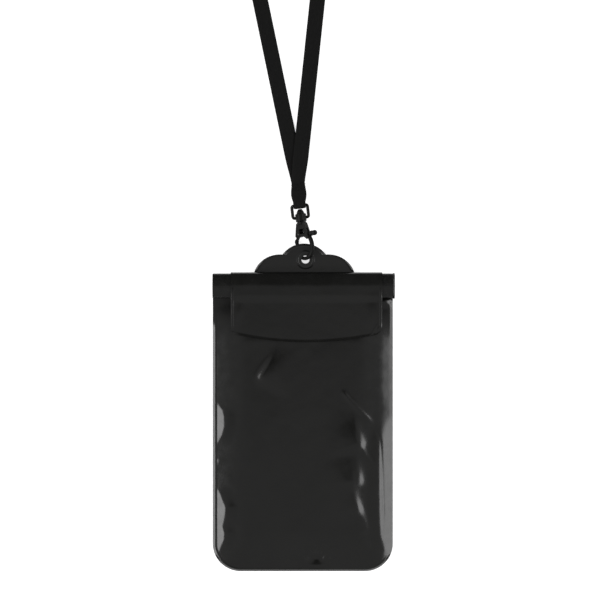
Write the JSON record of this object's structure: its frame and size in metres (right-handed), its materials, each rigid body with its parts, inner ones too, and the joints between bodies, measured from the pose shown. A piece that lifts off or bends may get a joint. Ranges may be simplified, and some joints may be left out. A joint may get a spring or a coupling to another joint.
{
  "type": "waterproof phone pouch",
  "caption": "Flat waterproof film pouch for a phone, with a two-part sealing clip, a fold-over flap, a scalloped hanging tab, a swivel snap hook and a neck strap.",
  "frame": {"origin": "middle of the sealing clip's flat back, on the surface the pouch lies on", "axes": "+X to the pouch's right seen from the front, +Y along the pouch towards its strap, +Z out of its front, away from the surface it lies on"},
  "size_m": [0.1234, 0.5819, 0.0153],
  "materials": {
    "film": "glossy",
    "clip": "satin",
    "hook": "satin",
    "steel": "satin",
    "strap": "matte"
  },
  "bodies": {
    "pouch": {"back_film": "film", "front_film": "film", "tab_facing": "film", "clip_back_bar": "clip", "hook_body": "hook", "gate_pin": "steel", "gate_spring": "steel", "strap_left_leg": "strap", "strap_right_leg": "strap", "strap_hank": "strap", "hank_tie": "strap"},
    "clip_slide": {"clip_front_bar": "clip"},
    "gate": {"hook_gate": "hook"},
    "stirrup": {"swivel_stirrup": "hook", "strap_loop_end": "strap"}
  },
  "joints": [
    {"name": "clip_slide", "type": "slide", "parent": "pouch", "child": "clip_slide", "axis": [1, 0, 0], "range_m": [0, 0.1235]},
    {"name": "gate_hinge", "type": "hinge", "parent": "pouch", "child": "gate", "pos_m": [-0.00184, 0.03474, 0.00426], "axis": [-0.6817, -0.0427, 0.7304], "range_deg": [0, 15], "stiffness_Nm_per_rad": 0.06, "springref_deg": -20.05, "deforming": ["gate_spring"]},
    {"name": "swivel", "type": "hinge", "parent": "pouch", "child": "stirrup", "pos_m": [-0.00129, 0.04617, 0.00545], "axis": [-0.1182, 0.9916, -0.0523], "continuous": true}
  ]
}
